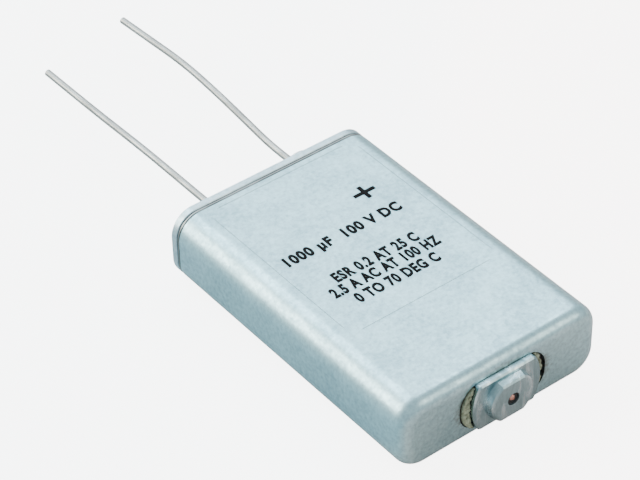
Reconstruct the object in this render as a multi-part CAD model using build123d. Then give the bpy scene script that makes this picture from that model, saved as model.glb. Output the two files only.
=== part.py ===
from build123d import *
from math import radians, tan
import os

# A flat rectangular aluminium electrolytic capacitor, lying on its broad face.
# X is the width, Y the length with the leads towards +Y, Z the thickness.
# The origin is the centre of the case's bottom face. All sizes are in millimetres.

# Case
case_width = 38.1
case_thickness = 13.0
case_length = 57.15
case_wall = 0.8
long_edge_radius = 4.3
closed_end_radius = 2.2
seam_chamfer = 0.12

# Header plate and its weld
header_rim = 1.5
header_edge_chamfer = 0.3
header_step_depth = 2.0
header_fit = 0.05
weld_width = 0.7
weld_recess = 0.1
weld_shoulder = 0.2

# Terminals, each placed from the case's side nearest to it
positive_from_side = 10.35
negative_from_side = 10.9
pin_diameter = 2.0
pin_head_diameter = 4.0
pin_head_thickness = 0.8
pin_stand = 0.6
stud_diameter = 2.6
stud_height = 1.6
ferrule_diameter = 6.0
ferrule_height = 3.8
ferrule_wall = 0.7
ferrule_flange_diameter = 7.8
ferrule_flange_thickness = 0.6
crimp_width = 1.2
crimp_depth = 0.25
terminal_chamfer = 0.3

# Leads: reaches and bends are measured from the header's face, swings from the terminal
lead_diameter = 1.2
lead_tip_chamfer = 0.25
bend_share = 0.45
positive_lead_reach = 55.5
positive_first_bend = 10.9
positive_second_bend = 26.4
positive_third_bend = 37.9
positive_second_swing = 1.45
positive_third_swing = 2.15
positive_tip_swing = 1.22
negative_lead_reach = 51.0
negative_first_bend = 22.9
negative_second_bend = 36.1
negative_second_swing = 0.42
negative_tip_swing = 0.59

# Vent fitting in the closed end
vent_opening_width = 16.6
vent_opening_height = 8.9
vent_opening_corner_radius = 4.0
vent_plate_width = 13.1
vent_plate_height = 8.7
vent_plate_end_radius = 8.5
vent_plate_corner_radius = 0.7
vent_plate_stand = 1.1
vent_boss_diameter = 8.0
vent_boss_height = 6.8
vent_boss_stand = 1.35
vent_boss_draft = 12
vent_edge_chamfer = 0.25
vent_bore = 2.2
vent_flange_width = 19.0
vent_flange_height = 10.2
vent_flange_thickness = 1.2
vent_tail_diameter = 5.0
vent_tail_length = 1.2
gasket_margin = 0.4
gasket_thickness = 0.8
plug_depth = 0.35
vent_pin_diameter = 1.0
vent_pin_depth = 0.1
sealant_reach = 2.6
sealant_above_face = 0.35
sealant_below_face = 0.1
sealant_strip = 0.9
sealant_gap = 0.1

# What the case holds
liner_gap = 0.1
liner_thickness = 0.25
insulator_thickness = 0.5
insulator_slot_margin = 0.3
winding_gap = 0.15
winding_side_gap = 0.2
tab_room = 5.95
tape_width = 14.0
tape_thickness = 0.1
tab_width = 5.0
tab_thickness = 0.3
tab_offset = 1.6
tab_bend_radius = 0.4

# Clear film over the top face
film_thickness = 0.06
film_width = 28.8
film_corner_radius = 2.5
film_near_edge = 17.7
film_far_margin = 1.2
film_side_shift = 0.2

# Places worked out from the sizes
near_face = -case_length / 2
far_face = case_length / 2
mid_z = case_thickness / 2
positive_x = case_width / 2 - positive_from_side
negative_x = negative_from_side - case_width / 2
rim_start = far_face - header_rim
can_end = rim_start - weld_width
step_end = rim_start - weld_width - header_step_depth
cavity_start = near_face + case_wall
step_inset = case_wall + header_fit
liner_inset = case_wall + liner_gap
winding_inset = liner_inset + liner_thickness + winding_gap + tape_thickness
gasket_back = cavity_start + gasket_thickness
flange_back = gasket_back + vent_flange_thickness
tail_end = flange_back + vent_tail_length
pad_start = tail_end
winding_start = pad_start + insulator_thickness
insulator_start = step_end - insulator_thickness
winding_end = insulator_start - tab_room
winding_length = winding_end - winding_start
plate_front = near_face - vent_plate_stand
boss_front = plate_front - vent_boss_stand


def across(y, x=0.0):
    """A plane across the length at y, whose local x is X and whose normal is +Y."""
    return Plane(origin=(x, y, mid_z), x_dir=(1, 0, 0), z_dir=(0, 1, 0))


def case_section(inset):
    return RectangleRounded(
        case_width - 2 * inset, case_thickness - 2 * inset, long_edge_radius - inset
    )


def slab(y_from, y_to, inset):
    """A length of the case's own section, drawn in from its outside by inset."""
    return extrude(across(y_from) * case_section(inset), y_to - y_from)


def rod(x, y_from, y_to, diameter):
    return extrude(across(y_from, x) * Circle(diameter / 2), y_to - y_from)


def end_edges(solid, last):
    """The edges that lie wholly in the solid's first or last face along Y."""
    box = solid.bounding_box()
    y = box.max.Y if last else box.min.Y
    return solid.edges().filter_by(lambda edge: flat_at(edge, y))


def flat_at(edge, y):
    box = edge.bounding_box()
    return abs(box.min.Y - y) < 1e-4 and abs(box.max.Y - y) < 1e-4


def drawn_cup(y_from, y_to, inset, end_radius):
    """A closed cup form: the case's section with its near end rounded all round."""
    cup = slab(y_from, y_to, inset)
    return fillet(end_edges(cup, False), end_radius)


def vent_plate_outline():
    """A plate with straight top and bottom whose two ends are shallow arcs."""
    half_width = vent_plate_width / 2
    half_height = vent_plate_height / 2
    arc_centre = half_width - vent_plate_end_radius
    band = Rectangle(vent_plate_width, 2 * half_height)
    right = Pos(arc_centre, 0) * Circle(vent_plate_end_radius)
    left = Pos(-arc_centre, 0) * Circle(vent_plate_end_radius)
    plate = band & right & left
    return fillet(plate.vertices(), vent_plate_corner_radius)


def vent_boss_outline():
    """A round boss cut by a flat above and a flat below."""
    return Circle(vent_boss_diameter / 2) & Rectangle(vent_boss_diameter, vent_boss_height)


def vent_opening_outline(inset):
    return RectangleRounded(
        vent_opening_width - 2 * inset,
        vent_opening_height - 2 * inset,
        vent_opening_corner_radius - inset,
    )


def turned(x, profile):
    """A solid of revolution about the line through x along Y, from (radius, y) points."""
    side = Plane(origin=(x, 0, mid_z), x_dir=(1, 0, 0), z_dir=(0, 0, 1))
    face = make_face(Polyline(*profile, close=True))
    return revolve(side * face, Axis((x, 0, mid_z), (0, 1, 0)))


def cavity():
    """The space inside the drawn can, open towards the header."""
    return drawn_cup(cavity_start, can_end, case_wall, closed_end_radius - case_wall)


def make_case_can():
    outer = drawn_cup(near_face, can_end, 0.0, closed_end_radius)
    outer = chamfer(end_edges(outer, True), seam_chamfer)
    opening = extrude(across(near_face) * vent_opening_outline(0.0), closed_end_radius)
    return outer - cavity() - opening


def make_header():
    rim = slab(rim_start, far_face, 0.0)
    rim = chamfer(end_edges(rim, True), header_edge_chamfer)
    rim = chamfer(end_edges(rim, False), seam_chamfer)
    plate = rim + slab(step_end, rim_start, step_inset)
    return plate - rod(positive_x, step_end, far_face, ferrule_diameter)


def make_weld_bead():
    """The seam: a ring with sloping shoulders, a little below the case's face."""
    bead = slab(can_end, rim_start, weld_recess)
    bead = chamfer(end_edges(bead, True), weld_shoulder)
    bead = chamfer(end_edges(bead, False), weld_shoulder)
    return bead - slab(can_end, rim_start, step_inset)


def make_positive_ferrule():
    """An eyelet through the header, flanged inside and pinched round its waist outside."""
    flange_start = step_end - ferrule_flange_thickness
    top = far_face + ferrule_height
    waist = far_face + ferrule_height / 2
    outside = ferrule_diameter / 2
    inside = outside - ferrule_wall
    return turned(positive_x, [
        (inside, flange_start),
        (ferrule_flange_diameter / 2, flange_start),
        (ferrule_flange_diameter / 2, step_end),
        (outside, step_end),
        (outside, waist - crimp_width / 2),
        (outside - crimp_depth, waist),
        (outside, waist + crimp_width / 2),
        (outside, top - terminal_chamfer),
        (outside - terminal_chamfer, top),
        (inside, top),
    ])


def make_positive_bushing():
    """The elastic seal that fills the eyelet round the pin."""
    start = step_end - ferrule_flange_thickness
    top = far_face + ferrule_height
    body = rod(positive_x, start, top, ferrule_diameter - 2 * ferrule_wall)
    body = chamfer(end_edges(body, True), terminal_chamfer)
    return body - rod(positive_x, start, top, pin_diameter)


def make_positive_pin():
    """A headed pin whose head bears on the inner end of the seal."""
    head_end = step_end - ferrule_flange_thickness
    top = far_face + ferrule_height + pin_stand
    shank = rod(positive_x, head_end, top, pin_diameter)
    shank = chamfer(end_edges(shank, True), terminal_chamfer)
    return shank + rod(positive_x, head_end - pin_head_thickness, head_end, pin_head_diameter)


def make_negative_stud():
    """A short stud that carries the negative lead on the header's own face."""
    stud = rod(negative_x, far_face, far_face + stud_height, stud_diameter)
    return chamfer(end_edges(stud, True), terminal_chamfer)


def soft_bends(points):
    """For each inner point, the largest arc that its two runs take with room to spare."""
    spots = [Vector(*point) for point in points]
    runs = [after - before for before, after in zip(spots, spots[1:])]
    radii = []
    for arriving, leaving in zip(runs, runs[1:]):
        half_turn = radians(arriving.get_angle(leaving)) / 2
        radii.append(bend_share * min(arriving.length, leaving.length) / tan(half_turn))
    return radii


def wire(points):
    """A round wire along straight runs joined by tangent arcs, with a chamfered tip."""
    path = FilletPolyline(*points, radius=soft_bends(points))
    section = Plane(origin=points[0], z_dir=path % 0) * Circle(lead_diameter / 2)
    solid = sweep(section, path=path)
    tip = solid.faces().sort_by(Axis.Y)[-1]
    return chamfer(tip.edges(), lead_tip_chamfer)


def make_positive_lead():
    """Straight off the pin, then bent out and slowly back, as left by handling."""
    return wire([
        (positive_x, far_face + ferrule_height + pin_stand, mid_z),
        (positive_x, far_face + positive_first_bend, mid_z),
        (positive_x + positive_second_swing, far_face + positive_second_bend, mid_z),
        (positive_x + positive_third_swing, far_face + positive_third_bend, mid_z),
        (positive_x + positive_tip_swing, far_face + positive_lead_reach, mid_z),
    ])


def make_negative_lead():
    return wire([
        (negative_x, far_face + stud_height, mid_z),
        (negative_x, far_face + negative_first_bend, mid_z),
        (negative_x - negative_second_swing, far_face + negative_second_bend, mid_z),
        (negative_x - negative_tip_swing, far_face + negative_lead_reach, mid_z),
    ])


def make_vent_gasket():
    """A ring pressed into the closed end, shaped by the can's own inside."""
    outline = SlotOverall(
        vent_flange_width + 2 * gasket_margin, vent_flange_height + 2 * gasket_margin
    )
    ring = extrude(across(cavity_start) * outline, gasket_thickness) & cavity()
    return ring - extrude(across(cavity_start) * vent_plate_outline(), gasket_thickness)


def make_vent_body():
    """One turned and milled piece: inner flange, plate, boss and tail, bored through."""
    flange = extrude(
        across(gasket_back) * SlotOverall(vent_flange_width, vent_flange_height),
        vent_flange_thickness,
    )
    plate = extrude(across(plate_front) * vent_plate_outline(), gasket_back - plate_front)
    plate = chamfer(end_edges(plate, False), vent_edge_chamfer)
    boss = extrude(across(boss_front) * vent_boss_outline(), vent_boss_stand, taper=-vent_boss_draft)
    boss = chamfer(end_edges(boss, False), vent_edge_chamfer)
    tail = rod(0.0, flange_back, tail_end, vent_tail_diameter)
    body = flange + plate + boss + tail
    return body - rod(0.0, boss_front, tail_end, vent_bore)


def make_vent_plug():
    """The soft plug in the bore, pierced by its pin."""
    plug = rod(0.0, boss_front + plug_depth, tail_end, vent_bore)
    return plug - rod(0.0, boss_front + plug_depth, tail_end, vent_pin_diameter)


def make_vent_pin():
    pin = rod(0.0, boss_front + vent_pin_depth, tail_end, vent_pin_diameter)
    return chamfer(end_edges(pin, False), vent_pin_diameter / 4)


def sealant_fill(front, outline):
    """Cement from the gasket to front, inside the outline and clear of the vent's plate."""
    depth = cavity_start - front
    fill = extrude(across(front) * outline, depth)
    return fill - extrude(across(front) * offset(vent_plate_outline(), sealant_gap), depth)


def make_vent_sealant():
    """Cement round the plate's ends: heaped up at the left one, a strip at the right one."""
    opening = vent_opening_outline(sealant_gap)
    end = Pos(-vent_opening_width / 2, 0) * Rectangle(2 * sealant_reach, vent_opening_height)
    heap = sealant_fill(near_face - sealant_above_face, opening & end)
    strip_outline = offset(vent_plate_outline(), sealant_strip)
    strip = sealant_fill(near_face + sealant_below_face, opening & strip_outline)
    right = Pos(vent_opening_width / 2, near_face, mid_z) * Box(
        vent_opening_width - vent_boss_diameter, 2 * case_wall, vent_opening_height
    )
    return heap + (strip & right)


def roll_section(inset):
    """The flattened roll's section: straight above and below, round at both sides."""
    height = case_thickness - 2 * inset
    width = case_width - 2 * (inset + winding_side_gap)
    return SlotOverall(width, height)


def make_winding():
    return extrude(across(winding_start) * roll_section(winding_inset), winding_length)


def make_winding_tape():
    start = winding_start + (winding_length - tape_width) / 2
    outer = extrude(across(start) * roll_section(winding_inset - tape_thickness), tape_width)
    inner = extrude(across(start) * roll_section(winding_inset), tape_width)
    return outer - inner


def make_case_liner():
    outer = slab(pad_start, insulator_start, liner_inset)
    return outer - slab(pad_start, insulator_start, liner_inset + liner_thickness)


def make_end_pad():
    return slab(pad_start, winding_start, liner_inset + liner_thickness)


def tab_slot(x, width, height):
    outline = Rectangle(width + 2 * insulator_slot_margin, height + 2 * insulator_slot_margin)
    return extrude(across(insulator_start, x) * outline, insulator_thickness)


def make_header_insulator():
    """A card with a window for the positive seal and a slot for the negative tab."""
    card = slab(insulator_start, step_end, liner_inset)
    window = ferrule_flange_diameter + 2 * insulator_slot_margin
    card -= rod(positive_x, insulator_start, step_end, window)
    return card - tab_slot(negative_x, tab_width, 2 * tab_offset)


def bent_tab(x, y_end):
    """A strip that leaves the roll, crosses over and lies flat on what it feeds."""
    crossing = (winding_end + y_end) / 2
    path = FilletPolyline(
        (winding_end, mid_z - tab_offset),
        (crossing, mid_z - tab_offset),
        (crossing, mid_z + tab_offset),
        (y_end - tab_thickness / 2, mid_z + tab_offset),
        (y_end - tab_thickness / 2, mid_z - tab_offset),
        radius=tab_bend_radius,
    )
    side = Plane(origin=(x - tab_width / 2, 0, 0), x_dir=(0, 1, 0), z_dir=(1, 0, 0))
    return extrude(side * trace(path, tab_thickness), tab_width)


def make_positive_tab():
    return bent_tab(positive_x, step_end - ferrule_flange_thickness - pin_head_thickness)


def make_negative_tab():
    return bent_tab(negative_x, step_end)


def make_label_film():
    """The clear film, from near the seam to the last third of the top face."""
    start = near_face + film_near_edge
    end = can_end - film_far_margin
    centre = (film_side_shift, (start + end) / 2)
    outline = RectangleRounded(film_width, end - start, film_corner_radius)
    return extrude(Pos(*centre, case_thickness) * outline, film_thickness)


nodes = {
    "case_can": make_case_can,
    "header": make_header,
    "weld_bead": make_weld_bead,
    "positive_ferrule": make_positive_ferrule,
    "positive_bushing": make_positive_bushing,
    "positive_pin": make_positive_pin,
    "positive_lead": make_positive_lead,
    "positive_tab": make_positive_tab,
    "negative_stud": make_negative_stud,
    "negative_lead": make_negative_lead,
    "negative_tab": make_negative_tab,
    "vent_gasket": make_vent_gasket,
    "vent_body": make_vent_body,
    "vent_plug": make_vent_plug,
    "vent_pin": make_vent_pin,
    "vent_sealant": make_vent_sealant,
    "winding": make_winding,
    "winding_tape": make_winding_tape,
    "case_liner": make_case_liner,
    "end_pad": make_end_pad,
    "header_insulator": make_header_insulator,
    "label_film": make_label_film,
}

os.makedirs("parts", exist_ok=True)
for name, make in nodes.items():
    piece = make()
    piece.label = name
    export_step(piece, f"parts/{name}.step")
    print(name, round(piece.volume, 3))
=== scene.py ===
# %% [markdown]
# A flat electrolytic capacitor lies on a white table. Its can is drawn from aluminium sheet,
# a header plate is welded into one end, and two tinned wires leave that end. The solids come
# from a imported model, which is loaded first and is never moved. Everything below is in
# metres in the same frame: X across the case, Y towards the wires, Z up.

# %% Load the model
import math
import bmesh
import bpy
from mathutils import Matrix, Vector, noise


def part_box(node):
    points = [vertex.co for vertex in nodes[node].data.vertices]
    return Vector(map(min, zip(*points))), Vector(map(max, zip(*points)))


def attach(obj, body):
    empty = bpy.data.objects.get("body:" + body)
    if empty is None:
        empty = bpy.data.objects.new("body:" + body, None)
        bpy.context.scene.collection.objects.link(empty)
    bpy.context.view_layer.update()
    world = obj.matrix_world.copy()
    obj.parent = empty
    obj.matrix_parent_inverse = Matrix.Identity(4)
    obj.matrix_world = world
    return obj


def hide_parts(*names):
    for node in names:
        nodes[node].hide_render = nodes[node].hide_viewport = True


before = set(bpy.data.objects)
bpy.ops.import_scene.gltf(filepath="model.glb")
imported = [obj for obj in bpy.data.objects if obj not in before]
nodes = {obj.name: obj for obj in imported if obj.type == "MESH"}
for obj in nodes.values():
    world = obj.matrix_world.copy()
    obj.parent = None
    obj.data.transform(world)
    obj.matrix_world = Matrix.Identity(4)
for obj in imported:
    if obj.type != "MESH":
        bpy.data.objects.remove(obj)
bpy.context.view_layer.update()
mm = 0.001
print("pieces loaded:", len(nodes))

# %% [markdown]
# Marks and beads have to sit on the real faces, so their places are read back from the
# solids that carry them. A box gives the lowest and the highest corner of a piece. Only what
# was judged, such as the height of the letters, is given further down.

# %% Places on the case
can_low, can_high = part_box("case_can")
bead_low, bead_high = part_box("weld_bead")
film_low, film_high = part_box("label_film")
ferrule_low, ferrule_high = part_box("positive_ferrule")
stud_low, stud_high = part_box("negative_stud")
winding_low, winding_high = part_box("winding")
mid_z = (can_low.z + can_high.z) / 2
closed_end = can_low.y
print("case", [round(side / mm, 2) for side in can_high - can_low], "mm")

# %% [markdown]
# Blender's shaders want linear colour, while a colour is usually written as an sRGB hex
# value. One function turns the first into the second. A second one adds a shader node with
# its settings and its links, so that each material below reads as a short list. A third one
# sets up a material, and a fourth one turns a real size into a texture's scale.


# %% Helpers for materials
def linear(hex_colour):
    """An sRGB hex value such as c8d2d6 as linear red, green, blue and alpha."""
    channels = [int(hex_colour[i:i + 2], 16) / 255 for i in (0, 2, 4)]
    bent = [c / 12.92 if c <= 0.04045 else ((c + 0.055) / 1.055) ** 2.4 for c in channels]
    return (*bent, 1.0)


def add(tree, kind, inputs=None, ramp=None, **settings):
    """One node. Settings are properties, inputs are values or sockets, ramp is its stops."""
    node = tree.nodes.new(kind)
    for name, value in settings.items():
        setattr(node, name, value)
    for socket, value in (inputs or {}).items():
        if isinstance(value, bpy.types.NodeSocket):
            tree.links.new(value, node.inputs[socket])
        else:
            node.inputs[socket].default_value = value
    for index, (position, colour) in enumerate(ramp or []):
        stops = node.color_ramp.elements
        stop = stops[index] if index < len(stops) else stops.new(position)
        stop.position = position
        stop.color = linear(colour)
    return node


def start(name, metallic, roughness):
    """A new material, its tree, its shader and the object's own coordinates."""
    material = bpy.data.materials.new(name)
    material.use_nodes = True
    tree = material.node_tree
    shader = tree.nodes["Principled BSDF"]
    shader.inputs["Metallic"].default_value = metallic
    shader.inputs["Roughness"].default_value = roughness
    place = add(tree, "ShaderNodeTexCoord").outputs["Object"]
    return material, tree, shader, place


def per(size_mm):
    """The texture scale that makes one feature about this many millimetres."""
    return 1 / (size_mm * mm)


# %% [markdown]
# The can is cold drawn and then etched. Etching leaves aluminium matt, a little blue and
# softly mottled, with patches where the sheet took the bath unevenly. An image could show
# that, but noise can be tied to real sizes: clouds of 7 mm, a speckle of 0.7 mm and a grain
# of 0.3 mm that only tilts the light. Base colour is the tint of a metal, and a metal keeps
# its default IOR. Handling left a brown smudge round the opening in the closed end, so the
# distance from that opening, scaled to about its width and height, darkens the tint.


# %% Etched aluminium of the can
opening_half_width_mm = 8.3
opening_half_height_mm = 4.5
smudge_depth = 1.0 * mm
smudge_fade = 0.4 * mm


def etched_aluminium(name, dark, light, smudged):
    material, tree, shader, place = start(name, 1.0, 0.4)
    clouds = add(tree, "ShaderNodeTexNoise", {"Vector": place, "Scale": per(7.0), "Detail": 3.0})
    speckle = add(tree, "ShaderNodeTexNoise", {"Vector": place, "Scale": per(0.7), "Detail": 5.0,
                                               "Roughness": 0.65})
    mottle = add(tree, "ShaderNodeMix", {"Factor": 0.68, "A": clouds.outputs["Fac"],
                                         "B": speckle.outputs["Fac"]}, data_type="FLOAT")
    tint = add(tree, "ShaderNodeValToRGB", {"Fac": mottle.outputs["Result"]},
               ramp=[(0.36, dark), (0.62, light)])
    colour = tint.outputs["Color"]
    if smudged:
        centred = add(tree, "ShaderNodeMapping", {
            "Vector": place,
            "Location": (0.0, 0.0, -mid_z * per(opening_half_height_mm)),
            "Scale": (per(opening_half_width_mm), 0.0, per(opening_half_height_mm)),
        })
        away = add(tree, "ShaderNodeVectorMath", {0: centred.outputs["Vector"]},
                   operation="LENGTH")
        ragged = add(tree, "ShaderNodeMath", {0: speckle.outputs["Fac"], 1: 0.35,
                                              2: away.outputs["Value"]},
                     operation="MULTIPLY_ADD")
        ring = add(tree, "ShaderNodeMapRange", {"Value": ragged.outputs["Value"],
                                                "From Min": 1.13, "From Max": 1.34,
                                                "To Min": 0.75, "To Max": 0.0})
        depth = add(tree, "ShaderNodeSeparateXYZ", {"Vector": place})
        at_end = add(tree, "ShaderNodeMapRange", {"Value": depth.outputs["Y"],
                                                  "From Min": closed_end + smudge_depth,
                                                  "From Max": closed_end + smudge_depth
                                                  + smudge_fade,
                                                  "To Min": 1.0, "To Max": 0.0})
        amount = add(tree, "ShaderNodeMath", {0: ring.outputs["Result"],
                                              1: at_end.outputs["Result"]},
                     operation="MULTIPLY")
        stained = add(tree, "ShaderNodeMix", {"Factor": amount.outputs["Value"], 6: colour,
                                              7: linear("726d5e")}, data_type="RGBA")
        colour = stained.outputs[2]
    tree.links.new(colour, shader.inputs["Base Color"])
    gloss = add(tree, "ShaderNodeMapRange", {"Value": mottle.outputs["Result"],
                                             "From Min": 0.35, "From Max": 0.65,
                                             "To Min": 0.44, "To Max": 0.3})
    tree.links.new(gloss.outputs["Result"], shader.inputs["Roughness"])
    grain = add(tree, "ShaderNodeTexNoise", {"Vector": place, "Scale": per(0.3), "Detail": 3.0})
    dents = add(tree, "ShaderNodeBump", {"Height": clouds.outputs["Fac"], "Strength": 0.35,
                                         "Distance": 0.12 * mm})
    rough = add(tree, "ShaderNodeBump", {"Height": grain.outputs["Fac"], "Strength": 0.3,
                                         "Distance": 0.02 * mm,
                                         "Normal": dents.outputs["Normal"]})
    tree.links.new(rough.outputs["Normal"], shader.inputs["Normal"])
    return material


# %% [markdown]
# The header is welded in, and the seam is a narrow bead of melted metal with a darker line on
# either side, where oxide collects. Ripples cross a bead because the weld pool freezes in
# steps. A diagonal wave gives them on the flat faces and on the sides at once, because the
# bead has hardly any depth along Y. Such a wave repeats after 0.63 of the size its scale is
# set for, so the ripples are 5.7 mm apart, much coarser than real ones. The dark lines follow
# the distance from the bead's middle. Some stretches came out clean and bright, so noise 5 mm
# in size lets the oxide come and go.


# %% Weld bead
bright_core = 0.03 * mm
dark_border = 0.22 * mm


def weld_aluminium():
    material, tree, shader, place = start("weld_bead_aluminium", 1.0, 0.42)
    along = add(tree, "ShaderNodeSeparateXYZ", {"Vector": place})
    middle = (bead_low.y + bead_high.y) / 2
    off = add(tree, "ShaderNodeMath", {0: along.outputs["Y"], 1: middle}, operation="SUBTRACT")
    away = add(tree, "ShaderNodeMath", {0: off.outputs["Value"]}, operation="ABSOLUTE")
    share = add(tree, "ShaderNodeMapRange", {"Value": away.outputs["Value"],
                                             "From Min": bright_core, "From Max": dark_border})
    tint = add(tree, "ShaderNodeValToRGB", {"Fac": share.outputs["Result"]},
               ramp=[(0.0, "8d9798"), (0.45, "6f797a"), (1.0, "2d3232")])
    patches = add(tree, "ShaderNodeTexNoise", {"Vector": place, "Scale": per(5.0)})
    clean = add(tree, "ShaderNodeMapRange", {"Value": patches.outputs["Fac"],
                                             "From Min": 0.5, "From Max": 0.7,
                                             "To Min": 0.0, "To Max": 0.45})
    oxidised = add(tree, "ShaderNodeMix", {"Factor": clean.outputs["Result"],
                                           6: tint.outputs["Color"], 7: linear("b9c6c8")},
                   data_type="RGBA")
    tree.links.new(oxidised.outputs[2], shader.inputs["Base Color"])
    ripple = add(tree, "ShaderNodeTexWave", {"Vector": place, "Scale": per(9.0),
                                             "Distortion": 3.0, "Detail": 2.0},
                 bands_direction="DIAGONAL")
    bump = add(tree, "ShaderNodeBump", {"Height": ripple.outputs["Fac"], "Strength": 0.5,
                                        "Distance": 0.05 * mm})
    tree.links.new(bump.outputs["Normal"], shader.inputs["Normal"])
    return material


# %% [markdown]
# The eyelet, the pin and the stud come off a lathe, whose tool leaves fine rings round their
# axis. A wave texture in rings does that once a Mapping node has moved its centre to the
# axis. Real rings are 0.05 mm apart and would not show. Those of the texture repeat after
# 0.31 of the size its scale is set for, so they are 1.9 mm apart, which is a soft shading.


# %% Turned aluminium
def turned_aluminium(name, axis_x):
    material, tree, shader, place = start(name, 1.0, 0.34)
    centred = add(tree, "ShaderNodeMapping", {"Vector": place,
                                              "Location": (-axis_x, 0.0, -mid_z)})
    rings = add(tree, "ShaderNodeTexWave", {"Vector": centred.outputs["Vector"],
                                            "Scale": per(6.0), "Distortion": 0.6},
                wave_type="RINGS", rings_direction="Y")
    tint = add(tree, "ShaderNodeValToRGB", {"Fac": rings.outputs["Fac"]},
               ramp=[(0.0, "b9c0c3"), (1.0, "d3d9dc")])
    tree.links.new(tint.outputs["Color"], shader.inputs["Base Color"])
    bump = add(tree, "ShaderNodeBump", {"Height": rings.outputs["Fac"], "Strength": 0.25,
                                        "Distance": 0.01 * mm})
    tree.links.new(bump.outputs["Normal"], shader.inputs["Normal"])
    return material


# %% [markdown]
# The vent fitting is milled. It is darker than the can because it was not etched, and light
# smears over it where tools slid. Noise that is stretched four times along Z gives the smears,
# and a finer one gives the tool marks.


# %% Milled aluminium of the vent
def milled_aluminium():
    material, tree, shader, place = start("milled_aluminium", 1.0, 0.3)
    drawn_out = add(tree, "ShaderNodeMapping", {"Vector": place, "Scale": (1.0, 1.0, 0.25)})
    smears = add(tree, "ShaderNodeTexNoise", {"Vector": drawn_out.outputs["Vector"],
                                              "Scale": per(1.8), "Detail": 3.0,
                                              "Distortion": 0.8})
    marks = add(tree, "ShaderNodeTexNoise", {"Vector": drawn_out.outputs["Vector"],
                                             "Scale": per(0.15), "Detail": 2.0})
    tint = add(tree, "ShaderNodeValToRGB", {"Fac": smears.outputs["Fac"]},
               ramp=[(0.35, "84a3a9"), (0.52, "98b6bd"), (0.68, "c6dfe5")])
    tree.links.new(tint.outputs["Color"], shader.inputs["Base Color"])
    gloss = add(tree, "ShaderNodeMapRange", {"Value": smears.outputs["Fac"], "From Min": 0.35,
                                             "From Max": 0.65, "To Min": 0.38, "To Max": 0.24})
    tree.links.new(gloss.outputs["Result"], shader.inputs["Roughness"])
    waves = add(tree, "ShaderNodeBump", {"Height": smears.outputs["Fac"], "Strength": 0.35,
                                         "Distance": 0.1 * mm})
    fine = add(tree, "ShaderNodeBump", {"Height": marks.outputs["Fac"], "Strength": 0.3,
                                        "Distance": 0.02 * mm,
                                        "Normal": waves.outputs["Normal"]})
    tree.links.new(fine.outputs["Normal"], shader.inputs["Normal"])
    return material


# %% [markdown]
# The leads are copper wire with a skin of tin. Drawing through a die leaves long faint lines
# along a wire, and fingers leave duller patches. The wire runs almost straight along Y, so
# noise stretched along Y stands in for a pattern that follows it.


# %% Tinned wire
def tinned_copper():
    material, tree, shader, place = start("tinned_copper_wire", 1.0, 0.4)
    drawn_out = add(tree, "ShaderNodeMapping", {"Vector": place, "Scale": (1.0, 0.06, 1.0)})
    lines = add(tree, "ShaderNodeTexNoise", {"Vector": drawn_out.outputs["Vector"],
                                             "Scale": per(0.25), "Detail": 3.0})
    patches = add(tree, "ShaderNodeTexNoise", {"Vector": place, "Scale": per(4.0),
                                               "Detail": 3.0})
    tint = add(tree, "ShaderNodeValToRGB", {"Fac": lines.outputs["Fac"]},
               ramp=[(0.3, "8a8f8d"), (0.7, "b4b8b5")])
    tree.links.new(tint.outputs["Color"], shader.inputs["Base Color"])
    gloss = add(tree, "ShaderNodeMapRange", {"Value": patches.outputs["Fac"], "From Min": 0.35,
                                             "From Max": 0.65, "To Min": 0.32, "To Max": 0.48})
    tree.links.new(gloss.outputs["Result"], shader.inputs["Roughness"])
    bump = add(tree, "ShaderNodeBump", {"Height": lines.outputs["Fac"], "Strength": 0.2,
                                        "Distance": 0.02 * mm})
    tree.links.new(bump.outputs["Normal"], shader.inputs["Normal"])
    return material


# %% [markdown]
# Many of the other stuffs differ only in tint, in gloss and in the size of their grain:
# butyl rubber is black with a grey bloom, pressed card is brown and fibrous, etched foil is
# grey and dusty. One function makes them all from a dark and a light tint, the grain's size
# and how much it is stretched along the piece.


# %% Rubber, card, foil and other grained stuffs
def grained(name, dark, light, grain_mm, roughness, metallic=0.0, stretch=1.0, relief_mm=0.02):
    material, tree, shader, place = start(name, metallic, roughness)
    drawn_out = add(tree, "ShaderNodeMapping", {"Vector": place, "Scale": (1.0, 1.0 / stretch, 1.0)})
    grain = add(tree, "ShaderNodeTexNoise", {"Vector": drawn_out.outputs["Vector"],
                                             "Scale": per(grain_mm), "Detail": 4.0,
                                             "Roughness": 0.6})
    tint = add(tree, "ShaderNodeValToRGB", {"Fac": grain.outputs["Fac"]},
               ramp=[(0.35, dark), (0.65, light)])
    tree.links.new(tint.outputs["Color"], shader.inputs["Base Color"])
    bump = add(tree, "ShaderNodeBump", {"Height": grain.outputs["Fac"], "Strength": 0.5,
                                        "Distance": relief_mm * mm})
    tree.links.new(bump.outputs["Normal"], shader.inputs["Normal"])
    return material


# %% [markdown]
# The cement round the vent is a grey-yellow paste that set hard and crumbly. Painted shade
# darkens it deep in the gap and along the cement's borders: a crumbly tint is mixed with near
# black by the depth below the face of the closed end. Depth is all that is needed, because the
# lumps of the cement fall away towards their borders.


# %% Sealing cement
# Painted shade on the cement begins this far out from the face of the closed end and is darkest this
# far in.
unshaded_above = 0.28 * mm
full_shade_below = 0.12 * mm


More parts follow.
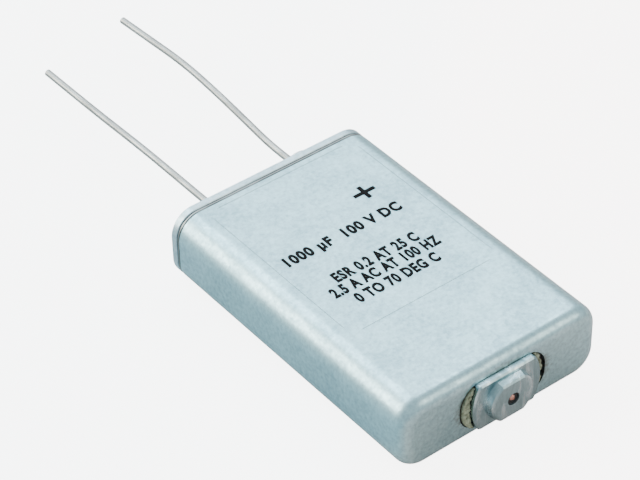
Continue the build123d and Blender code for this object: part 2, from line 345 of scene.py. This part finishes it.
def sealing_cement():
    material, tree, shader, place = start("sealing_cement", 0.0, 0.75)
    crumbs = add(tree, "ShaderNodeTexNoise", {"Vector": place, "Scale": per(0.5), "Detail": 4.0,
                                              "Roughness": 0.6})
    tint = add(tree, "ShaderNodeValToRGB", {"Fac": crumbs.outputs["Fac"]},
               ramp=[(0.35, "69735e"), (0.65, "a0ad95")])
    axes = add(tree, "ShaderNodeSeparateXYZ", {"Vector": place})
    # Painted shade: the deeper below the face of the closed end, the nearer the cement comes to near
    # black.
    painted_shade = add(tree, "ShaderNodeMapRange", {"Value": axes.outputs["Y"],
                                            "From Min": closed_end - unshaded_above,
                                            "From Max": closed_end + full_shade_below,
                                            "To Min": 0.0, "To Max": 0.92})
    shaded = add(tree, "ShaderNodeMix", {"Factor": painted_shade.outputs["Result"],
                                        6: tint.outputs["Color"], 7: linear("2a281e")},
                data_type="RGBA")
    tree.links.new(shaded.outputs[2], shader.inputs["Base Color"])
    bump = add(tree, "ShaderNodeBump", {"Height": crumbs.outputs["Fac"], "Strength": 0.5,
                                        "Distance": 0.08 * mm})
    tree.links.new(bump.outputs["Normal"], shader.inputs["Normal"])
    return material


# %% [markdown]
# The winding is foil and paper rolled flat. Its outer turn shows plain paper, and its two
# ends show the edges of all the turns. The distance from the roll's flat core line, folded
# into bands, draws those edges. The layers are really far thinner than the 0.35 mm used here.


# %% Wound foil and paper
layer_thickness = 0.35 * mm


def wound_foil_and_paper():
    material, tree, shader, place = start("wound_foil_and_paper", 0.0, 0.7)
    half_height = (winding_high.z - winding_low.z) / 2
    core = (winding_high.x - winding_low.x) / 2 - half_height
    axes = add(tree, "ShaderNodeSeparateXYZ", {"Vector": place})
    side = add(tree, "ShaderNodeMath", {0: axes.outputs["X"]}, operation="ABSOLUTE")
    past = add(tree, "ShaderNodeMath", {0: side.outputs["Value"], 1: core}, operation="SUBTRACT")
    round_part = add(tree, "ShaderNodeMath", {0: past.outputs["Value"], 1: 0.0},
                     operation="MAXIMUM")
    height = add(tree, "ShaderNodeMath", {0: axes.outputs["Z"], 1: mid_z}, operation="SUBTRACT")
    spoke = add(tree, "ShaderNodeCombineXYZ", {"X": round_part.outputs["Value"],
                                               "Z": height.outputs["Value"]})
    radius = add(tree, "ShaderNodeVectorMath", {0: spoke.outputs["Vector"]}, operation="LENGTH")
    turns = add(tree, "ShaderNodeMath", {0: radius.outputs["Value"], 1: layer_thickness},
                operation="PINGPONG")
    share = add(tree, "ShaderNodeMapRange", {"Value": turns.outputs["Value"],
                                             "From Max": layer_thickness})
    fibres = add(tree, "ShaderNodeTexNoise", {"Vector": place, "Scale": per(1.2), "Detail": 5.0})
    mixed = add(tree, "ShaderNodeMix", {"Factor": 0.35, "A": share.outputs["Result"],
                                        "B": fibres.outputs["Fac"]}, data_type="FLOAT")
    tint = add(tree, "ShaderNodeValToRGB", {"Fac": mixed.outputs["Result"]},
               ramp=[(0.2, "8e7a5c"), (0.6, "c4b18f"), (0.9, "b9babb")])
    tree.links.new(tint.outputs["Color"], shader.inputs["Base Color"])
    bump = add(tree, "ShaderNodeBump", {"Height": mixed.outputs["Result"], "Strength": 0.4,
                                        "Distance": 0.05 * mm})
    tree.links.new(bump.outputs["Normal"], shader.inputs["Normal"])
    return material


# %% [markdown]
# A clear film protects the print. It can't be seen, apart from its border, which shows as a
# fine grey line. So it has no opacity inside and a little in the last seventh of a millimetre.
# The distance to the border comes from the film's own box.


# %% Clear film
film_border_width = 0.14 * mm


def clear_film():
    material, tree, shader, place = start("clear_polyester_film", 0.0, 0.3)
    middle = (film_low + film_high) / 2
    half = (film_high - film_low) / 2
    axes = add(tree, "ShaderNodeSeparateXYZ", {"Vector": place})
    reaches = []
    for axis, centre, reach in (("X", middle.x, half.x), ("Y", middle.y, half.y)):
        off = add(tree, "ShaderNodeMath", {0: axes.outputs[axis], 1: centre},
                  operation="SUBTRACT")
        side = add(tree, "ShaderNodeMath", {0: off.outputs["Value"]}, operation="ABSOLUTE")
        inside = add(tree, "ShaderNodeMath", {0: side.outputs["Value"], 1: reach},
                     operation="SUBTRACT")
        reaches.append(inside.outputs["Value"])
    nearest = add(tree, "ShaderNodeMath", {0: reaches[0], 1: reaches[1]}, operation="MAXIMUM")
    opacity = add(tree, "ShaderNodeMapRange", {"Value": nearest.outputs["Value"],
                                               "From Min": -film_border_width, "From Max": 0.0,
                                               "To Min": 0.0, "To Max": 0.34})
    tree.links.new(opacity.outputs["Result"], shader.inputs["Alpha"])
    waves = add(tree, "ShaderNodeTexNoise", {"Vector": place, "Scale": per(5.0)})
    tint = add(tree, "ShaderNodeValToRGB", {"Fac": waves.outputs["Fac"]},
               ramp=[(0.3, "76828a"), (0.7, "8d989d")])
    tree.links.new(tint.outputs["Color"], shader.inputs["Base Color"])
    return material


# %% [markdown]
# Each solid now gets its finish in its own material slot. Pieces inside the case are dressed
# too, because the model can be taken apart. The mesh itself is left as it came.

# %% Dress the solids
can_metal = etched_aluminium("etched_aluminium", "97bdc7", "b8e0e8", True)
header_metal = etched_aluminium("header_aluminium", "a6c4cd", "c8e0e8", False)
rubber = grained("butyl_rubber", "0d0d0d", "242424", 0.4, 0.6)
card = grained("pressed_card", "7a6343", "a08560", 0.5, 0.8, stretch=4.0)
foil = grained("etched_aluminium_foil", "8f9294", "b3b6b8", 0.2, 0.5, metallic=1.0, stretch=8.0)
wire = tinned_copper()
eyelet_metal = turned_aluminium("turned_aluminium", (ferrule_low.x + ferrule_high.x) / 2)
finishes = {
    "case_can": can_metal,
    "header": header_metal,
    "weld_bead": weld_aluminium(),
    "positive_ferrule": eyelet_metal,
    "positive_pin": eyelet_metal,
    "positive_bushing": rubber,
    "positive_lead": wire,
    "positive_tab": foil,
    "negative_stud": turned_aluminium("stud_aluminium", (stud_low.x + stud_high.x) / 2),
    "negative_lead": wire,
    "negative_tab": foil,
    "vent_body": milled_aluminium(),
    "vent_gasket": rubber,
    "vent_plug": rubber,
    "vent_pin": grained("bare_copper", "9a6557", "e2b0a2", 0.3, 0.3, metallic=1.0),
    "vent_sealant": sealing_cement(),
    "winding": wound_foil_and_paper(),
    "winding_tape": grained("yellowed_tape", "cdb878", "ddcb92", 3.0, 0.25),
    "case_liner": grained("polyester_liner", "d9d4c4", "ece9dd", 2.0, 0.4),
    "end_pad": card,
    "header_insulator": card,
    "label_film": clear_film(),
}
for name, obj in nodes.items():
    obj.data.materials.clear()
    obj.data.materials.append(finishes[name])
print("dressed:", len(finishes), "of", len(nodes))

# %% [markdown]
# The print on the top face is four lines of bold sans capitals and a plus sign at the side of
# the positive lead. The words here are plain ratings of such a part. Text objects are the
# quick way to letters, but they are curves, so each line is turned into a mesh first and then
# fitted to its width and its letter height. It lies inside the film's thickness. The ink is
# black and thin, and a fine noise lets it look a little worn. Each line below gives its words,
# its middle across and along the case, and its width, in millimetres.

# %% Print on the top face
ink = grained("black_ink", "040506", "101214", 0.25, 0.8, relief_mm=0.002)
ink.node_tree.nodes["Principled BSDF"].inputs["Specular IOR Level"].default_value = 0.15
ink_bottom = film_low.z + 0.02 * mm
ink_thickness = 0.025 * mm
letter_height = 2.3 * mm


def add_piece(name, mesh, material):
    """Puts a finished mesh into the scene as a piece of the capacitor."""
    piece = bpy.data.objects.new(name, mesh)
    bpy.context.scene.collection.objects.link(piece)
    mesh.materials.clear()
    mesh.materials.append(material)
    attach(piece, "root")
    return piece


def letters(words):
    """The words as a mesh one unit thick, and its lowest and highest corners."""
    type_face = bpy.data.curves.new("type", "FONT")
    type_face.body = words
    type_face.offset = 0.05
    type_face.space_character = 1.14
    type_face.resolution_u = 3
    type_face.extrude = 0.5
    holder = bpy.data.objects.new("type", type_face)
    bpy.context.scene.collection.objects.link(holder)
    bpy.context.view_layer.update()
    solid = holder.evaluated_get(bpy.context.evaluated_depsgraph_get())
    mesh = bpy.data.meshes.new_from_object(solid)
    bpy.data.objects.remove(holder)
    corners = [vert.co for vert in mesh.vertices]
    low = Vector([min(corner[i] for corner in corners) for i in range(3)])
    high = Vector([max(corner[i] for corner in corners) for i in range(3)])
    return mesh, low, high


capital_low, capital_high = letters("H")[1:]
capital_height = capital_high.y - capital_low.y
lines = [
    ("1000 µF  100 V DC", -0.85, 8.2, 22.4),
    ("ESR 0.2 AT 25 C", -0.4, 0.8, 16.2),
    ("2.5 A AC AT 100 HZ", -0.6, -1.9, 20.8),
    ("0 TO 70 DEG C", -0.75, -4.9, 15.9),
]
for number, (words, centre_x, centre_y, width) in enumerate(lines, 1):
    mesh, low, high = letters(words)
    fitted = (Matrix.Translation((centre_x * mm, centre_y * mm, ink_bottom))
              @ Matrix.Diagonal((width * mm / (high.x - low.x), letter_height / capital_height,
                                 ink_thickness, 1.0))
              @ Matrix.Translation((-(low.x + high.x) / 2, -capital_height / 2, 0.5)))
    mesh.transform(fitted)
    add_piece(f"print_line_{number}", mesh, ink)
    print("print line", number, "is", width, "mm wide")

# %% [markdown]
# The plus sign starts as a small square block. Its four side faces are pulled outwards, which
# gives one closed solid, where two crossed bars would have faces hidden inside each other.

# %% Plus sign
plus_place = Vector((8.0 * mm, 13.8 * mm, ink_bottom + ink_thickness / 2))
plus_stroke = 0.75 * mm
plus_width = 4.1 * mm
plus_length = 3.2 * mm
shape = bmesh.new()
bmesh.ops.create_cube(shape, size=1.0)
bmesh.ops.scale(shape, vec=(plus_stroke, plus_stroke, ink_thickness), verts=shape.verts)
for side in [face for face in shape.faces if abs(face.normal.z) < 0.5]:
    outwards = side.normal.copy()
    full = plus_width if abs(outwards.x) > 0.5 else plus_length
    arm = bmesh.ops.extrude_discrete_faces(shape, faces=[side])["faces"][0]
    bmesh.ops.translate(shape, vec=outwards * (full - plus_stroke) / 2, verts=arm.verts)
bmesh.ops.translate(shape, vec=plus_place, verts=shape.verts)
plus_mesh = bpy.data.meshes.new("plus_sign")
shape.to_mesh(plus_mesh)
shape.free()
add_piece("plus_sign", plus_mesh, ink)
print("plus sign", plus_width / mm, "mm wide")

# %% [markdown]
# The film's solid lies on the can, face on face. Two faces in one plane confuse a ray that
# passes through the upper one, and the metal under it looks blotchy. So a copy of the film
# with its underside raised by a hundredth of a millimetre stands for the solid. A copy keeps
# the outline with its round corners, where a new sheet would have to repeat its sizes.


# %% Film over the print
film_clearance = 0.01 * mm


def raised_film():
    mesh = nodes["label_film"].data.copy()
    shape = bmesh.new()
    shape.from_mesh(mesh)
    bmesh.ops.remove_doubles(shape, verts=shape.verts, dist=0.001 * mm)
    underside = [vert for vert in shape.verts if vert.co.z < (film_low.z + film_high.z) / 2]
    bmesh.ops.translate(shape, vec=(0.0, 0.0, film_clearance), verts=underside)
    shape.to_mesh(mesh)
    shape.free()
    return mesh


film = add_piece("print_film", raised_film(), finishes["label_film"])
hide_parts("label_film")
print("film thickness:", round((film_high.z - film_low.z - film_clearance) / mm, 3), "mm")

# %% [markdown]
# The cement at both ends of the vent's plate was pushed in with a spatula, so it is lumpy.
# Its solid has the right place and a plain form. A copy of that solid is remeshed into even
# small faces, and noise pushes them in and out, most of all towards the open air. Its sides
# draw back a little, as a paste does when it sets, and that leaves the thin dark line round
# it. The gap at the right end is narrower, so the strip there is raised and widened to close
# some of it. The lumpy piece then stands for the plain one, which stays in the model unseen.


# %% Lumps of cement
cement_shrinkage = 0.1 * mm
right_cement_rise = 0.25 * mm
right_cement_growth = 0.2 * mm
cement_voxel = 0.09 * mm
big_lump = 0.8 * mm
small_lump = 0.3 * mm
front_relief = 0.4 * mm
side_relief = 0.08 * mm


def lumpy_cement():
    plain = nodes["vent_sealant"]
    rough_mesh = plain.data.copy()
    shape = bmesh.new()
    shape.from_mesh(rough_mesh)
    bmesh.ops.remove_doubles(shape, verts=shape.verts, dist=0.001 * mm)
    shape.to_mesh(rough_mesh)
    shape.free()
    holder = bpy.data.objects.new("cement_holder", rough_mesh)
    bpy.context.scene.collection.objects.link(holder)
    even = holder.modifiers.new("even_faces", "REMESH")
    even.mode = "VOXEL"
    even.voxel_size = cement_voxel
    bpy.context.view_layer.update()
    solid = holder.evaluated_get(bpy.context.evaluated_depsgraph_get())
    mesh = bpy.data.meshes.new_from_object(solid)
    bpy.data.objects.remove(holder)
    shape = bmesh.new()
    shape.from_mesh(mesh)
    shape.normal_update()
    for vert in shape.verts:
        lump = noise.noise(vert.co / big_lump) + 0.4 * noise.noise(vert.co / small_lump)
        reach = front_relief if vert.normal.y < -0.5 else side_relief
        sideways = Vector((vert.normal.x, 0.0, vert.normal.z))
        push = vert.normal * lump * reach - sideways * cement_shrinkage
        if vert.co.x > 0.0 and vert.normal.y < -0.3:
            push.y -= right_cement_rise
        if vert.co.x > 0.0 and vert.normal.x > 0.3:
            push.x += right_cement_growth
        vert.co += push
    for _ in range(3):
        bmesh.ops.smooth_vert(shape, verts=shape.verts, factor=0.4, use_axis_x=True,
                              use_axis_y=True, use_axis_z=True)
    for face in shape.faces:
        face.smooth = True
    shape.to_mesh(mesh)
    shape.free()
    return mesh


cement_mesh = lumpy_cement()
cement = add_piece("vent_cement", cement_mesh, finishes["vent_sealant"])
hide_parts("vent_sealant")
print("cement faces:", len(cement_mesh.polygons))

# %% [markdown]
# The table is a flat sheet, far larger than the view, so that no edge shows. It lies a hair
# below the case, because two faces in one plane show stripes in a render. Product tables are
# lit from below, so that they look white and still throw little light on the part. Here the
# glow is added for the camera's own rays alone, and the metal mirrors the sheet without it.
# The sheet is cool at the left of the case and warm in front of it, so the two sides that
# face the camera differ as they do under a cool and a warm lamp.


# %% Table
table_half_size = 1.5
table_clearance = 0.02 * mm
cool_to_warm = 16.0 * mm
unevenness = 4.0 * mm


def glowing_table():
    material, tree, shader, place = start("opal_table", 0.0, 0.8)
    cloud = add(tree, "ShaderNodeTexNoise", {"Vector": place, "Scale": per(60.0)})
    axes = add(tree, "ShaderNodeSeparateXYZ", {"Vector": place})
    forwards = add(tree, "ShaderNodeMath", {0: axes.outputs["X"], 1: axes.outputs["Y"]},
                   operation="SUBTRACT")
    uneven = add(tree, "ShaderNodeMath", {0: cloud.outputs["Fac"], 1: unevenness,
                                          2: forwards.outputs["Value"]},
                 operation="MULTIPLY_ADD")
    share = add(tree, "ShaderNodeMapRange", {"Value": uneven.outputs["Value"],
                                             "From Min": 0.0, "From Max": cool_to_warm})
    tint = add(tree, "ShaderNodeValToRGB", {"Fac": share.outputs["Result"]},
               ramp=[(0.0, "acbbc0"), (1.0, "d7c3bc")])
    tree.links.new(tint.outputs["Color"], shader.inputs["Base Color"])
    glow = add(tree, "ShaderNodeEmission", {"Strength": 6.0})
    lit = add(tree, "ShaderNodeAddShader", {0: shader.outputs["BSDF"],
                                            1: glow.outputs["Emission"]})
    seen = add(tree, "ShaderNodeLightPath")
    mixed = add(tree, "ShaderNodeMixShader", {0: seen.outputs["Is Camera Ray"],
                                              1: shader.outputs["BSDF"],
                                              2: lit.outputs["Shader"]})
    tree.links.new(mixed.outputs["Shader"], tree.nodes["Material Output"].inputs["Surface"])
    return material


table_shape = bmesh.new()
bmesh.ops.create_grid(table_shape, x_segments=1, y_segments=1, size=table_half_size)
bmesh.ops.translate(table_shape, vec=(0.0, 0.0, -table_clearance), verts=table_shape.verts)
table_mesh = bpy.data.meshes.new("table")
table_shape.to_mesh(table_mesh)
table_shape.free()
table = bpy.data.objects.new("table", table_mesh)
bpy.context.scene.collection.objects.link(table)
table_mesh.materials.append(glowing_table())
print("table", 2 * table_half_size, "m wide")

# %% [markdown]
# The camera looks from the front left and from above. Its place, its angles and its lens were
# worked out from the straight edges of the case in the photograph.

# %% Camera
camera_place = Vector((-186.28, -229.72, 268.17)) * mm
camera_azimuth = math.radians(37.278)
camera_elevation = math.radians(40.373)
camera_roll = math.radians(-1.211)
lens = bpy.data.cameras.new("camera")
lens.lens = 144.4
lens.clip_start = 10 * mm
camera = bpy.data.objects.new("camera", lens)
bpy.context.scene.collection.objects.link(camera)
turn = (Matrix.Rotation(-camera_azimuth, 4, "Z")
        @ Matrix.Rotation(math.pi / 2 - camera_elevation, 4, "X")
        @ Matrix.Rotation(camera_roll, 4, "Z"))
camera.matrix_world = Matrix.Translation(camera_place) @ turn
bpy.context.scene.camera = camera
print("camera", round(camera_place.length, 3), "m from the case")

# %% [markdown]
# Metal shows what it reflects, so the lights are placed for the faces that mirror them. The
# top face gets cool ones behind and to the right, and the rounded long edge a warm one low at
# the left. A small one high at the right is for the upper flat on the vent's boss, and a warm
# one in front lights the closed end. The world is a pale even grey like a light tent, and
# fills the shadows.

# %% Light
world = bpy.data.worlds.new("studio")
bpy.context.scene.world = world
world.use_nodes = True
world.node_tree.nodes["Background"].inputs["Color"].default_value = linear("e9eef1")
world.node_tree.nodes["Background"].inputs["Strength"].default_value = 1.0


def softbox(name, place, size, power, colour):
    """A square area light that faces the capacitor."""
    light = bpy.data.lights.new(name, "AREA")
    light.size = size
    light.energy = power
    light.color = linear(colour)[:3]
    box = bpy.data.objects.new(name, light)
    box.location = place
    box.rotation_euler = (-Vector(place)).to_track_quat("-Z", "Y").to_euler()
    bpy.context.scene.collection.objects.link(box)


softbox("left_back_softbox", (-0.5, 0.5, 0.35), 0.4, 5.0, "fff8ee")
softbox("back_softbox", (-0.06, 0.5, 0.62), 0.4, 3.5, "eef8ff")
softbox("right_back_softbox", (0.46, 0.54, 0.56), 0.5, 2.0, "eef6ff")
softbox("top_softbox", (0.32, 0.21, 0.59), 0.16, 0.6, "f4fbff")
softbox("front_softbox", (0.4, -0.6, 0.5), 0.4, 1.5, "ffeedd")
print("lights:", len(bpy.data.lights))
